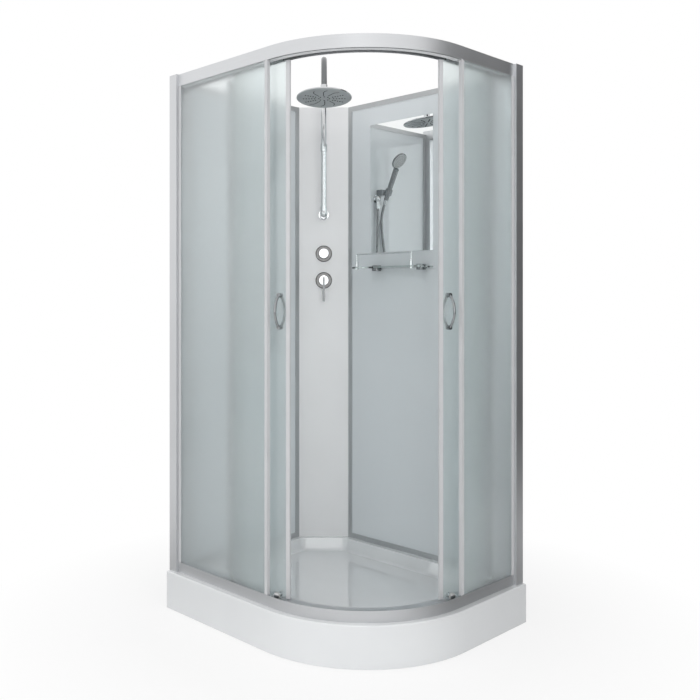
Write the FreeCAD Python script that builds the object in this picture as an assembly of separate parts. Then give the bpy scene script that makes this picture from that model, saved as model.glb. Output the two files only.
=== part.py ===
import FreeCAD, Part
import math
import os

# Corner shower cabin with two curved sliding doors, in millimetres, +Z up.
# The origin is the middle of the footprint at floor level. The left face of the front looks along -Y,
# the right face along +X, the round corner lies between them, and the room's walls are at -X and +Y.

# Footprint and heights
cabin_width = 1100
cabin_depth = 900
corner_radius = 500
tray_height = 150
cabin_height = 2150
back_height = 2130
overrun = 1
fit_gap = 0.3
snug_gap = 0.1
running_gap = 0.06

# Tray
tray_wall = 5
skirt_lift = 2
rim_round = 5
front_rim = 92
back_rim = 45
column_ledge = 25
basin_depth = 52
basin_slope = 18
basin_corner = 45
basin_floor_round = 14
back_lip = 60

# Waste
drain_from_corner_x = 135
drain_from_corner_y = 285
drain_hole_radius = 45
trap_flange_radius = 56
trap_flange = 4
trap_radius = 50
trap_wall = 3
trap_depth = 76
spigot_collar_radius = 22.5
spigot_collar = 4
spigot_radius = 20
spigot_bore = 18
spigot_length = 62
spigot_height = 23
cover_radius = 52
cover_thickness = 4
cover_round = 3
cover_rise = 5
cover_skirt_radius = 38
cover_skirt_wall = 3
cover_skirt = 14
cover_lug_half_width = 3
cover_lug_overhang = 3
cover_lugs = 3

# Support frame and feet
frame_tube = 30
frame_tube_wall = 2
frame_inset = 55
frame_arc_inset = 60
frame_row_shares = (-0.36, -0.02, 0.36)
frame_tie_shares = (0.02, 0.36)
foot_inset = 45
foot_radius = 25
foot_height = 12
stud_radius = 6
nut_radius = 11
nut_height = 8

# Rails
rail_inset = 25
rail_depth = 66
rail_wall = 2.5
lower_rail_height = 40
ledge_height = 27
upper_rail_height = 47
groove_width = 7
web_thickness = 2
ledge_edge = 34

# Wall posts and fixed panes
post_inset = 14
post_width = 46
post_wall = 3
pane_thickness = 5
pane_inset = 6
pane_seat = 12
pane_bite = 12
fixed_end = 20
strip_width = 15
strip_cap = 3
strip_wall = 2
strip_fin = 4
strip_fin_thickness = 2
bead_width = 15
bead_thickness = 4

# Sliding doors
door_inset = 47
door_overlap = 34
door_gap = 3
door_rear_gap = 12
closed_seam = 0.5
lead_wander = 5
rear_wander = 6.5
nose_depth = 6
magnet_width = 15
magnet_wall = 2.5
seal_depth = 4
seal_width = 12
seal_wall = 1.5
seal_fin = 10
seal_fin_thickness = 3
roller_in = 42
roller_rear_in = 88
roller_search_share = 1.5
roller_search_steps = 60
seam_search_steps = 30
wheel_radius = 12.5
wheel_width = 7
wheel_play = 0.15
wheel_groove = 1
wheel_groove_shares = (0.3, 0.7)
axle_radius = 4
sleeve_radius = 7
sleeve_length = 15
dome_radius = 11
dome_height = 1.6
glass_hole_radius = 5.2
bush_radius = 5
bolt_nut_radius = 8
bolt_nut_length = 4
ear_half_width = 14
ear_above_axle = 14
handle_in = 43
handle_clear = 14.5
handle_height = 1204
handle_half_span = 58
handle_reach = 30
handle_rod_radius = 4.5
handle_foot_radius = 8
handle_foot = 8
handle_bolt_radius = 3
handle_hole_radius = 3.3

# Back walls and column
wall_depth = 20
column_leg = 160
column_sheet = 3
frame_face = 22
frame_sheet = 3
back_pane_thickness = 5

# Mirror and shelf
mirror_from_column = 139
mirror_width = 350
mirror_height = 573
mirror_bottom = 1454
mirror_thickness = 5
mirror_tape = 0.3
shelf_height = 1380
shelf_thickness = 6
shelf_width = 350
shelf_depth = 130
shelf_corner = 9
drum_radius = 20
drum_height = 24
drum_half_span = 125
drum_setoff = 2
drum_foot_radius = 12
guard_half_span = 152
guard_setback = 12
guard_height = 61
guard_rod_radius = 3
guard_barrel_radius = 7
guard_barrel_height = 22
guard_nut_height = 6

# Valve and its knobs
mixer_height = 1332
diverter_rise = 123
valve_setback = 40
valve_radius = 24
valve_overhang = 35
valve_bore = 12
valve_floor = 5
valve_sleeve_radius = 20
valve_sleeve_reach = 3
valve_hole_radius = 20.5
inlet_spread = 42
inlet_bar_radius = 15
inlet_collar_radius = 14
inlet_collar = 3
inlet_radius = 10.48
inlet_length = 24
inlet_bore = 7
rosette_radius = 38
rosette_front_radius = 34
rosette_thickness = 6
rosette_bore = 25
knob_radius = 24
knob_front_radius = 22.5
knob_length = 29
knob_gap = 1
knob_round = 2
knob_stem_radius = 8
knob_stem_length = 19
hub_slot_width = 10
hub_slot_floor = 5
lever_thickness = 9
lever_depth = 10
lever_top = 15
lever_drop = 97
lever_tip_depth = 6
lever_pin_setback = 13
lever_pin_radius = 3
lever_pin_length = 32

# Riser and rain shower
riser_rise = 179
riser_standoff = 65
riser_radius = 12
riser_bore = 10.5
elbow_radius = 15
elbow_ball_radius = 18
elbow_flange_radius = 23
elbow_flange = 5
elbow_socket_radius = 15
elbow_socket_height = 32
elbow_socket_depth = 12
elbow_tail_radius = 11
elbow_block = 24
riser_joint_rise = 298
union_radius = 15
union_length = 36
union_round = 2
arm_straight = 196
arm_radius = 155.6
arm_bend_degrees = 173
arm_tail = 20
swivel_radius = 15
swivel_above = 12
swivel_below = 18.5
swivel_ball_radius = 10
swivel_ball_drop = 11.5
swivel_mouth_radius = 8.6
head_stem_radius = 6
head_radius = 115
head_top_drop = 24
head_face_drop = 46
head_edge_height = 6
head_shoulder_radius = 30
head_shoulder_height = 17
face_thickness = 3
face_margin = 3

# Feed pipes
feed_radius = 8
feed_bore = 5
hand_feed_radius = 5
hand_feed_bend = 16
hand_feed_clear = 1
hand_feed_setback = 6

# Hand shower
holder_y = 22
holder_height = 1783
holder_block = 40
holder_block_height = 28
holder_block_reach = 40
holder_round = 4
holder_arm_half_width = 10
cradle_reach = 63
cradle_wall = 5.5
cradle_length = 30
handset_tilt_degrees = 24.2
handle_low = 42
handle_high = 132
handle_low_radius = 11.5
handle_high_radius = 14.5
spray_head_forward = 4
spray_head_high = 164
spray_head_radius = 43
spray_head_depth = 18
spray_head_back_radius = 26
spray_head_rim = 5
spray_head_tilt_degrees = 14.2
spray_face_radius = 38
spray_face_thickness = 3
hose_nut_radius = 11
hose_nut_end_radius = 9
hose_nut_length = 24
outlet_y = 50
outlet_height = 1750
outlet_radius = 13
outlet_ball_radius = 16
outlet_flange_radius = 20
outlet_flange = 4
outlet_stub_radius = 9
outlet_stub_length = 26
outlet_tail_radius = 8
outlet_tail_overlap = 4
outlet_hole_radius = 8.5
outlet_reach = 16

# Hose: outlet nut, down, round the loop and up to the hand shower
hose_radius = 7
hose_valley_radius = 6.2
hose_bore = 4
hose_ribs = 190
hose_rib_shares = (0.0, 0.2, 0.5, 0.7)
hose_bend_share = 0.45
hose_end_run = 58.57
hose_route = [
    (-517, 50, 1699.7), (-517, 50, 1600), (-516, 59, 1460), (-515, 82, 1310), (-514, 103, 1190),
    (-514, 106, 1072), (-514, 58, 1024), (-514, -10, 1024), (-514, -58, 1072), (-514, -55, 1190),
    (-515, -36, 1310), (-517, -8, 1440), (-520, 14, 1565),
]

# Places worked out from the sizes above
left = -cabin_width / 2
right = cabin_width / 2
front = -cabin_depth / 2
back = cabin_depth / 2
corner_x = right - corner_radius
corner_y = front + corner_radius
corner = FreeCAD.Vector(corner_x, corner_y, 0)
left_run = cabin_width - corner_radius
right_run = cabin_depth - corner_radius
runs = {"left": left_run, "right": right_run}
frame_inner = rail_inset + rail_depth
drain_x = corner_x + drain_from_corner_x
drain_y = corner_y - drain_from_corner_y
ledge_z = tray_height + ledge_height
lip_z = tray_height + lower_rail_height
upper_rail_z = cabin_height - upper_rail_height
groove_inner = rail_wall + groove_width
pane_mid = rail_inset + pane_inset
pane_outer = pane_mid - pane_thickness / 2
pane_inner = pane_mid + pane_thickness / 2
door_radius = corner_radius - rail_inset - door_inset
door_width = door_radius * math.radians(45) + fixed_end + door_overlap
roller_span = door_width - roller_in - roller_rear_in
handle_stop = handle_in + handle_foot_radius + handle_clear - fixed_end + strip_cap
rear_stop = door_width + post_width + door_rear_gap - min(left_run, right_run)
door_open = max(handle_stop, rear_stop)
door_bottom = ledge_z + door_gap
door_top = upper_rail_z - door_gap
low_axle_z = ledge_z + fit_gap + wheel_radius
top_axle_z = upper_rail_z + rail_wall + fit_gap + wheel_radius
column_x = left + wall_depth + column_leg
column_y = back - wall_depth - column_leg
column_mid = FreeCAD.Vector((left + wall_depth + column_x) / 2, (column_y + back - wall_depth) / 2, 0)
column_degrees = 45
diverter_height = mixer_height + diverter_rise
riser_height = diverter_height + riser_rise
riser_joint = riser_height + riser_joint_rise
floor_z = tray_height - basin_depth
frame_top_z = floor_z - tray_wall
left_pane_x = left + wall_depth - frame_sheet
right_pane_y = back - wall_depth + frame_sheet
fittings_x = column_x + mirror_from_column + mirror_width / 2
X = FreeCAD.Vector(1, 0, 0)
Y = FreeCAD.Vector(0, 1, 0)
Z = FreeCAD.Vector(0, 0, 1)


def vec(x, y, z=0):
    return FreeCAD.Vector(x, y, z)


def box(x0, x1, y0, y1, z0, z1):
    return Part.makeBox(x1 - x0, y1 - y0, z1 - z0, vec(x0, y0, z0))


def rod(radius, start, axis, length):
    return Part.makeCylinder(radius, length, start, axis)


def tube(radius, bore, start, axis, length):
    return rod(radius, start, axis, length).cut(rod(bore, start, axis, length))


def ball(radius, centre):
    return Part.makeSphere(radius, centre)


def fuse(shapes):
    return shapes[0].multiFuse(shapes[1:]).removeSplitter()


def prism(points, z0, z1):
    wire = Part.makePolygon([vec(x, y, z0) for x, y in points + points[:1]])
    return Part.Face(wire).extrude(Z * (z1 - z0))


def lathe(profile, axis_start, axis):
    """Solid of revolution: profile points are (radius, distance along the axis)."""
    side = X if abs(axis.x) < abs(axis.z) + abs(axis.y) else Y
    points = [axis_start + side * r + axis * d for r, d in profile]
    wire = Part.makePolygon(points + points[:1])
    return Part.Face(wire).revolve(axis_start, axis, 360)


def turned(shape, degrees, axis=Z, about=None):
    copy = shape.copy()
    copy.rotate(about or vec(0, 0), axis, degrees)
    return copy


def moved(shape, offset):
    copy = shape.copy()
    copy.translate(offset)
    return copy


def rounded(shape, radius, pick):
    """The shape with its picked edges rounded."""
    return shape.makeFillet(radius, [edge for edge in shape.Edges if pick(edge)])


def save(name, *solids):
    shape = solids[0] if len(solids) == 1 else Part.makeCompound(solids)
    shape.exportStep("parts/" + name + ".step")
    print(name, "solids", len(shape.Solids), "valid", shape.isValid(), "volume", round(shape.Volume))


# Outlines that follow the front of the cabin
def front_points(inset, end_gap):
    """Start, tangent points, arc middle and end of the front's line at an inset."""
    radius = corner_radius - inset
    half = math.radians(45)
    middle = corner + vec(radius * math.sin(half), -radius * math.cos(half))
    return (vec(left + end_gap, front + inset), vec(corner_x, front + inset), middle,
            vec(right - inset, corner_y), vec(right - inset, back - end_gap))


def front_edges(points):
    start, tangent, middle, far_tangent, end = points
    return [Part.LineSegment(start, tangent).toShape(), Part.Arc(tangent, middle, far_tangent).toShape(),
            Part.LineSegment(far_tangent, end).toShape()]


def band(inset_out, inset_in, z0, z1, end_gap):
    """A wall that follows the whole front between two insets from the tray's edge."""
    outer = front_points(inset_out, end_gap)
    inner = front_points(inset_in, end_gap)
    edges = front_edges(outer) + front_edges(inner)
    edges.append(Part.LineSegment(outer[0], inner[0]).toShape())
    edges.append(Part.LineSegment(outer[4], inner[4]).toShape())
    face = Part.Face(Part.Wire(Part.__sortEdges__(edges)))
    return moved(face.extrude(Z * (z1 - z0)), Z * z0)


def footprint(front_inset, back_inset, z0, z1):
    """The cabin's plan, pulled in at the front and at the two walls."""
    points = front_points(front_inset, back_inset)
    edges = front_edges(points)
    wall_corner = vec(left + back_inset, back - back_inset)
    edges.append(Part.LineSegment(points[4], wall_corner).toShape())
    edges.append(Part.LineSegment(wall_corner, points[0]).toShape())
    face = Part.Face(Part.Wire(edges))
    return moved(face.extrude(Z * (z1 - z0)), Z * z0)


def corner_arc(before, at, after, radius):
    """Start, middle and end of the arc that rounds a corner between two straight runs."""
    come = (at - before).normalize()
    go = (after - at).normalize()
    half = come.getAngle(go) / 2
    cut = radius * math.tan(half)
    inward = (go - come).normalize()
    return at - come * cut, at + inward * (radius / math.cos(half) - radius), at + go * cut


def basin_wire(extra, z):
    """Edge of the basin: the front's line, the two walls and the column's diagonal, with round corners."""
    points = front_points(front_rim + extra, back_rim + extra)
    diagonal = column_x - (back - wall_depth) + math.sqrt(2) * (column_ledge + extra)
    wall_y = back - back_rim - extra
    wall_x = left + back_rim + extra
    corners = [points[4], vec(diagonal + wall_y, wall_y), vec(wall_x, wall_x - diagonal), points[0]]
    around = [points[3]] + corners + [points[1]]
    arcs = [corner_arc(*around[i:i + 3], basin_corner - extra) for i in range(len(corners))]
    edges = front_edges((arcs[-1][2], points[1], points[2], points[3], arcs[0][0]))
    for arc, following in zip(arcs, arcs[1:] + [None]):
        edges.append(Part.Arc(*arc).toShape())
        if following:
            edges.append(Part.LineSegment(arc[2], following[0]).toShape())
    return moved(Part.Wire(edges), Z * z)


def basin_solid(grow, top_z, bottom_z):
    """The basin's hollow, or its outer skin when grown by the wall, with a rounded floor edge."""
    solid = Part.makeLoft([basin_wire(-grow, top_z), basin_wire(basin_slope - grow, bottom_z)], True, True)

    def is_floor(edge):
        return edge.BoundBox.ZMax < bottom_z + overrun

    return rounded(solid, basin_floor_round + grow, is_floor)


# Base
def make_tray():
    outer = footprint(0, 0, skirt_lift, tray_height)

    def is_rim(edge):
        return edge.BoundBox.ZMin > tray_height - overrun

    outer = rounded(outer, rim_round, is_rim)
    under = footprint(tray_wall, tray_wall, 0, tray_height - tray_wall)
    shell = outer.cut(under)
    shell = shell.cut(box(left - overrun, left + tray_wall, front + front_rim, back + overrun, 0, back_lip))
    shell = shell.cut(box(left - overrun, right - front_rim, back - tray_wall, back + overrun, 0, back_lip))
    skin = basin_solid(tray_wall, tray_height - tray_wall, floor_z - tray_wall)
    hollow = basin_solid(0, tray_height + overrun, floor_z)
    drain = rod(drain_hole_radius, vec(drain_x, drain_y, 0), Z, tray_height)
    return shell.fuse(skin).cut(hollow).cut(drain).removeSplitter()


def make_trap():
    top = floor_z - tray_wall
    cup = rod(trap_radius, vec(drain_x, drain_y, top - trap_depth), Z, trap_depth)
    flange = rod(trap_flange_radius, vec(drain_x, drain_y, top - trap_flange), Z, trap_flange)
    outlet_z = top - trap_depth + spigot_height
    start = vec(drain_x, drain_y, outlet_z)
    shoulder = trap_radius + spigot_collar
    collar = rod(spigot_collar_radius, start, Y, shoulder)
    outlet = rod(spigot_radius, start, Y, shoulder + spigot_length)
    cup_floor = vec(drain_x, drain_y, top - trap_depth + trap_wall)
    hollow = rod(trap_radius - trap_wall, cup_floor, Z, trap_depth)
    bore = rod(spigot_bore, start, Y, shoulder + spigot_length + overrun)
    return fuse([cup, flange, collar, outlet]).cut(hollow).cut(bore)


def make_drain_cover():
    seat = vec(drain_x, drain_y, floor_z + cover_rise)
    plate = rod(cover_radius, seat, Z, cover_thickness)

    def is_top_edge(edge):
        return edge.BoundBox.ZMin > floor_z + cover_rise + cover_thickness / 2

    plate = rounded(plate, cover_round, is_top_edge)
    skirt_start = vec(drain_x, drain_y, floor_z + cover_rise - cover_skirt)
    skirt = tube(cover_skirt_radius, cover_skirt_radius - cover_skirt_wall, skirt_start, Z, cover_skirt)
    lug = box(cover_skirt_radius - cover_skirt_wall, drain_hole_radius + cover_lug_overhang,
              -cover_lug_half_width, cover_lug_half_width, fit_gap, cover_rise)
    middle = vec(drain_x, drain_y, floor_z)
    lugs = [moved(turned(lug, 360 * i / cover_lugs), middle) for i in range(cover_lugs)]
    return fuse([plate, skirt] + lugs)


def frame_rows():
    """Each cross tube of the support frame: its x and the y of its two ends."""
    rows = []
    for share in frame_row_shares:
        x = share * cabin_width
        near = front + frame_inset
        if x + frame_tube / 2 > corner_x:
            reach = corner_radius - frame_arc_inset
            near = corner_y - math.sqrt(reach ** 2 - (x + frame_tube / 2 - corner_x) ** 2)
        rows.append((x, near, back - frame_inset))
    return rows


def make_support_frame():
    z0 = frame_top_z - frame_tube
    half = frame_tube / 2
    hole = half - frame_tube_wall
    mid_z = frame_top_z - half
    rows = frame_rows()
    tubes = []
    for x, near, far in rows:
        bar = box(x - half, x + half, near, far, z0, frame_top_z)
        tubes.append(bar.cut(box(x - hole, x + hole, near, far, mid_z - hole, mid_z + hole)))
    for (x0, _, _), (x1, _, _) in zip(rows, rows[1:]):
        for share in frame_tie_shares:
            y = share * cabin_depth
            bar = box(x0 + half, x1 - half, y - half, y + half, z0, frame_top_z)
            tubes.append(bar.cut(box(x0 + half, x1 - half, y - hole, y + hole, mid_z - hole, mid_z + hole)))
    return fuse(tubes)


def make_feet():
    z_top = frame_top_z - frame_tube
    solids = []
    for x, near, far in frame_rows():
        for y in (near + foot_inset, far - foot_inset):
            pad = rod(foot_radius, vec(x, y, 0), Z, foot_height)
            stud = rod(stud_radius, vec(x, y, foot_height), Z, z_top - foot_height)
            nut_start = vec(x, y, z_top - nut_height)
            solids.append(pad.fuse(stud))
            solids.append(tube(nut_radius, stud_radius + snug_gap, nut_start, Z, nut_height))
    return solids


# Outer frame
def make_lower_rail():
    inner = rail_inset + groove_inner
    body = band(inner, frame_inner, tray_height, ledge_z, post_width)
    hollow = band(inner + rail_wall, frame_inner - rail_wall, tray_height + rail_wall, ledge_z - rail_wall,
                  post_width)
    lip = band(rail_inset, rail_inset + rail_wall, tray_height, lip_z, post_width)
    groove = band(rail_inset, inner, tray_height, tray_height + rail_wall, post_width)
    return fuse([body.cut(hollow), lip, groove])


def make_upper_rail():
    z0 = upper_rail_z
    top = cabin_height - rail_wall
    web = rail_inset + groove_inner
    walls = [
        band(rail_inset, rail_inset + rail_wall, z0, cabin_height, post_width),
        band(rail_inset, frame_inner, top, cabin_height, post_width),
        band(web, web + web_thickness, z0, top, post_width),
        band(web, rail_inset + ledge_edge, z0, z0 + rail_wall, post_width),
        band(frame_inner - rail_wall, frame_inner, z0, top, post_width),
    ]
    return fuse(walls)


def on_side(shape, side):
    """Pieces are drawn on the left face; the right face mirrors them across the round corner's middle."""
    return shape if side == "left" else shape.mirror(corner, vec(1, 1))


def side_box(u0, u1, inset_out, inset_in, z0, z1):
    """A block on the left face: u runs from the corner's tangent point towards the wall."""
    return box(corner_x - u1, corner_x - u0, front + inset_out, front + inset_in, z0, z1)


def make_post(side):
    u1 = runs[side]
    u0 = u1 - post_width
    outer = side_box(u0, u1, post_inset, frame_inner, tray_height, cabin_height)
    hollow = side_box(u0 + post_wall, u1 - post_wall, post_inset + post_wall, frame_inner - post_wall,
                      tray_height, cabin_height)
    slot = side_box(u0 - overrun, u0 + post_wall, pane_outer - fit_gap, pane_inner + fit_gap,
                    tray_height, upper_rail_z + pane_bite + overrun)
    return on_side(outer.cut(hollow).cut(slot), side)


def pane_box(side, grow=0):
    """A fixed pane, from its free edge into the slot of its post."""
    u1 = runs[side] - post_width + pane_seat
    return side_box(fixed_end - grow, u1, pane_outer - grow, pane_inner + grow,
                    tray_height + rail_wall + fit_gap, upper_rail_z + pane_bite)


def make_fixed_pane(side):
    return on_side(pane_box(side), side)


def make_edge_strip(side):
    z0 = lip_z + fit_gap
    z1 = upper_rail_z - fit_gap
    u0 = fixed_end - strip_cap
    body = side_box(u0, u0 + strip_width, pane_outer - strip_wall, pane_inner + strip_wall, z0, z1)
    fin = side_box(u0, u0 + strip_fin_thickness, pane_inner, pane_inner + strip_wall + strip_fin, z0, z1)
    return on_side(body.fuse(fin).cut(pane_box(side, snug_gap)).removeSplitter(), side)


def make_bead(side):
    u1 = runs[side] - post_width
    bead = side_box(u1 - bead_width, u1, pane_outer - bead_thickness, pane_outer, lip_z + fit_gap,
                    upper_rail_z - fit_gap)
    return on_side(bead, side)


# Doors, drawn about the middle of their own curve with the front edge at -Y and the back edge towards -X
def door_sector(d0, d1, r0, r1, z0, z1):
    """A curved block of the door: d is measured along the glass from the front edge."""
    def point(d, radius):
        angle = d / door_radius
        return vec(-radius * math.sin(angle), -radius * math.cos(angle))

    middle = (d0 + d1) / 2
    edges = [
        Part.Arc(point(d0, r1), point(middle, r1), point(d1, r1)).toShape(),
        Part.LineSegment(point(d1, r1), point(d1, r0)).toShape(),
        Part.Arc(point(d1, r0), point(middle, r0), point(d0, r0)).toShape(),
        Part.LineSegment(point(d0, r0), point(d0, r1)).toShape(),
    ]
    return moved(Part.Face(Part.Wire(edges)).extrude(Z * (z1 - z0)), Z * z0)


def at_door(shape, d):
    """Moves a shape drawn on the front edge's radius to a place along the glass."""
    return turned(shape, -math.degrees(d / door_radius))


roller_places = {
    "top_lead": (roller_in, top_axle_z),
    "top_rear": (roller_in + roller_span, top_axle_z),
    "low_lead": (roller_in, low_axle_z),
    "low_rear": (roller_in + roller_span, low_axle_z),
}
glass_front = -door_radius - pane_thickness / 2
glass_rear = -door_radius + pane_thickness / 2
wheel_front = glass_front - sleeve_length - wheel_play - wheel_width


def door_glass(grow=0):
    half = pane_thickness / 2 + grow
    return door_sector(nose_depth - grow, door_width - seal_depth + grow, door_radius - half,
                       door_radius + half, door_bottom, door_top)


def make_door_glass():
    half = pane_thickness / 2
    solids = [door_glass()]
    for d, z in roller_places.values():
        if z == top_axle_z:
            solids.append(door_sector(d - ear_half_width, d + ear_half_width, door_radius - half,
                                      door_radius + half, door_top, z + ear_above_axle))
    glass = fuse(solids)
    through = -door_radius - pane_thickness
    for d, z in roller_places.values():
        glass = glass.cut(at_door(rod(glass_hole_radius, vec(0, through, z), Y, 2 * pane_thickness), d))
    for z in (handle_height - handle_half_span, handle_height + handle_half_span):
        hole = rod(handle_hole_radius, vec(0, through, z), Y, 2 * pane_thickness)
        glass = glass.cut(at_door(hole, handle_in))
    return glass


def make_magnet_strip():
    half = pane_thickness / 2 + magnet_wall
    body = door_sector(0, magnet_width, door_radius - half, door_radius + half, door_bottom, door_top)
    return body.cut(door_glass(snug_gap))


def make_rear_seal():
    half = pane_thickness / 2 + seal_wall
    body = door_sector(door_width - seal_width, door_width, door_radius - half, door_radius + half,
                       door_bottom, door_top)
    fin = door_sector(door_width - seal_fin_thickness, door_width, door_radius,
                      door_radius + half + seal_fin, door_bottom, door_top)
    return body.fuse(fin).cut(door_glass(snug_gap)).removeSplitter()


def make_roller_bolt(z):
    """Axle bolt: outer dome, axle, spacer sleeve, bush through the glass and inner cap nut."""
    dome_back = wheel_front - wheel_play
    sphere_radius = (dome_radius ** 2 + dome_height ** 2) / (2 * dome_height)
    cap = ball(sphere_radius, vec(0, dome_back + sphere_radius - dome_height, z))
    cap = cap.common(rod(dome_radius, vec(0, dome_back - dome_height, z), Y, dome_height))
    axle = rod(axle_radius, vec(0, dome_back, z), Y, glass_front - dome_back)
    sleeve = rod(sleeve_radius, vec(0, glass_front - sleeve_length, z), Y, sleeve_length)
    bush = rod(bush_radius, vec(0, glass_front, z), Y, pane_thickness + fit_gap)
    nut = rod(bolt_nut_radius, vec(0, glass_rear + fit_gap, z), Y, bolt_nut_length)
    return fuse([cap, axle, sleeve, bush, nut])


def make_wheel(z):
    """Nylon wheel with a shallow groove round its tread."""
    rim = rod(wheel_radius, vec(0, wheel_front, z), Y, wheel_width)
    groove_start = wheel_front + wheel_groove_shares[0] * wheel_width
    groove_length = (wheel_groove_shares[1] - wheel_groove_shares[0]) * wheel_width
    groove = tube(wheel_radius + overrun, wheel_radius - wheel_groove, vec(0, groove_start, z), Y,
                  groove_length)
    bore = rod(axle_radius + running_gap, vec(0, wheel_front, z), Y, wheel_width)
    return rim.cut(groove).cut(bore)


def make_bow(face, outward):
    """A bow handle on one face of the glass; outward is -1 on the outer face and 1 on the inner face."""
    rise = handle_reach - handle_foot / 2
    radius = (handle_half_span ** 2 + rise ** 2) / (2 * rise)
    half_angle = math.degrees(math.asin(handle_half_span / radius))
    foot_y = face + outward * handle_foot / 2
    centre = vec(0, foot_y - outward * (radius - rise), handle_height)
    section = Part.Face(Part.Wire(Part.makeCircle(handle_rod_radius, centre + Y * (outward * radius), Z)))
    half_bow = section.revolve(centre, X, half_angle)
    pieces = [half_bow, section.revolve(centre, X, -half_angle)]
    for sign in (-1, 1):
        z = handle_height + sign * handle_half_span
        pieces.append(rod(handle_foot_radius, vec(0, face, z), Y * outward, handle_foot))
    return pieces


def make_handles():
    outer = make_bow(glass_front, -1)
    inner = make_bow(glass_rear + fit_gap, 1)
    for sign in (-1, 1):
        z = handle_height + sign * handle_half_span
        outer.append(rod(handle_bolt_radius, vec(0, glass_front, z), Y, pane_thickness))
    return [at_door(fuse(outer), handle_in), at_door(fuse(inner), handle_in)]


# Where a door stands: its two rollers on the track, each wandering a little across the wide ledge
def track_point(s, offset):
    """Plan point of the left track: s runs from the tangent point, into the corner when positive."""
    inset = rail_inset + door_inset + offset
    if s <= 0:
        return vec(corner_x + s, front + inset)
    angle = s / door_radius
    radius = corner_radius - inset
    return corner + vec(radius * math.sin(angle), -radius * math.cos(angle))


def roller_plan(d):
    angle = d / door_radius
    return vec(-door_radius * math.sin(angle), -door_radius * math.cos(angle))


def door_pose(lead_s):
    """Turn and shift that set the front roller at a place on the track and the rear one behind it."""
    lead = roller_plan(roller_in)
    rear = roller_plan(roller_in + roller_span)
    span = (lead - rear).Length
    lead_on = track_point(lead_s, -lead_wander)
    near, far = lead_s - span, lead_s - roller_search_share * span
    for _ in range(roller_search_steps):
        middle = (near + far) / 2
        if (track_point(middle, rear_wander) - lead_on).Length < span:
            near = middle
        else:
            far = middle
    rear_on = track_point(near, rear_wander)
    there = lead_on - rear_on
    here = lead - rear
    turn = math.atan2(there.y, there.x) - math.atan2(here.y, here.x)
    shift = lead_on - turned(Part.Vertex(lead), math.degrees(turn)).Point
    return math.degrees(turn), shift


def front_edge_gap(pose):
    """Distance of the closed front edge from the middle of the round corner."""
    half = pane_thickness / 2 + magnet_wall
    gaps = []
    for radius in (door_radius - half, door_radius + half):
        point = turned(Part.Vertex(vec(0, -radius)), pose[0]).Point + pose[1] - corner
        gaps.append(-(point.x + point.y) / math.sqrt(2))
    return min(gaps)


def closed_pose():
    s = door_radius * math.radians(45) - roller_in
    for _ in range(seam_search_steps):
        s += front_edge_gap(door_pose(s)) - closed_seam
    return door_pose(s)


def door_pivot(opened, closed):
    """The upright axis about which one turn carries the door from open to closed."""
    turn = closed[0] - opened[0]
    half = math.radians(turn) / 2
    start = opened[1]
    end = closed[1]
    chord = end - start
    return (start + end) / 2 + vec(-chord.y, chord.x) / (2 * math.tan(half)), turn


opened = door_pose(door_open - roller_in)
closed = closed_pose()
pivot, door_turn = door_pivot(opened, closed)


def in_door(shape, side):
    """Sets a door piece in its open place and on its side of the cabin."""
    return on_side(moved(turned(shape, opened[0]), opened[1]), side)


# Back walls
def on_right_wall(shape):
    return moved(shape, vec(column_x, back - wall_depth))


def on_left_wall(shape):
    return moved(turned(shape, 90), vec(left + wall_depth, front + frame_inner))


def wall_frame(length):
    """An angle frame round a back pane: X along the wall, Y from the inner face to the wall."""
    z0, z1 = tray_height, back_height
    flange = box(0, length, 0, frame_sheet, z0, z1)
    window = box(frame_face, length - frame_face, 0, frame_sheet, z0 + frame_face, z1 - frame_face)
    rim = box(0, length, frame_sheet, wall_depth, z0, z1)
    inside = box(frame_sheet, length - frame_sheet, frame_sheet, wall_depth, z0 + frame_sheet,
                 z1 - frame_sheet)
    return fuse([flange.cut(window), rim.cut(inside)])


def wall_pane(length):
    edge = frame_sheet + fit_gap
    return box(edge, length - edge, frame_sheet, frame_sheet + back_pane_thickness,
               tray_height + edge, back_height - edge)


right_wall_length = right - frame_inner - column_x
left_wall_length = column_y - front - frame_inner


def make_column():
    """Bent sheet across the corner: a face at 45 degrees and a return to each wall."""
    sheet = column_sheet
    slope = column_x - (back - wall_depth)
    inner_slope = slope - sheet * math.sqrt(2)
    points = [
        (left, column_y), (left + wall_depth, column_y), (column_x, back - wall_depth), (column_x, back),
        (column_x - sheet, back), (column_x - sheet, column_x - sheet - inner_slope),
        (column_y + sheet + inner_slope, column_y + sheet), (left, column_y + sheet),
    ]
    panel = prism(points, tray_height, back_height)
    for radius, z in ((valve_hole_radius, mixer_height), (valve_hole_radius, diverter_height),
                      (elbow_tail_radius + fit_gap, riser_height)):
        hole = rod(radius, vec(0, -overrun, z), Y, column_sheet + 2 * overrun)
        panel = panel.cut(on_column(hole))
    return panel.cut(hand_feed_notch())


def on_column(shape):
    """Fittings are drawn facing -Y on the column's middle line, with Y going into the corner."""
    return moved(turned(shape, column_degrees), column_mid)


# Mirror and shelf
def make_mirror():
    y1 = right_pane_y - mirror_tape
    x0 = fittings_x - mirror_width / 2
    return box(x0, x0 + mirror_width, y1 - mirror_thickness, y1,
               mirror_bottom, mirror_bottom + mirror_height)


shelf_back = right_pane_y - frame_sheet


def shelf_blank(grow=0):
    x0 = fittings_x - shelf_width / 2
    return box(x0, x0 + shelf_width, shelf_back - shelf_depth, shelf_back, shelf_height - grow,
               shelf_height + shelf_thickness + grow)


def guard_places():
    y = shelf_back - shelf_depth + guard_setback
    return [vec(fittings_x + sign * guard_half_span, y) for sign in (-1, 1)]


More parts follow.
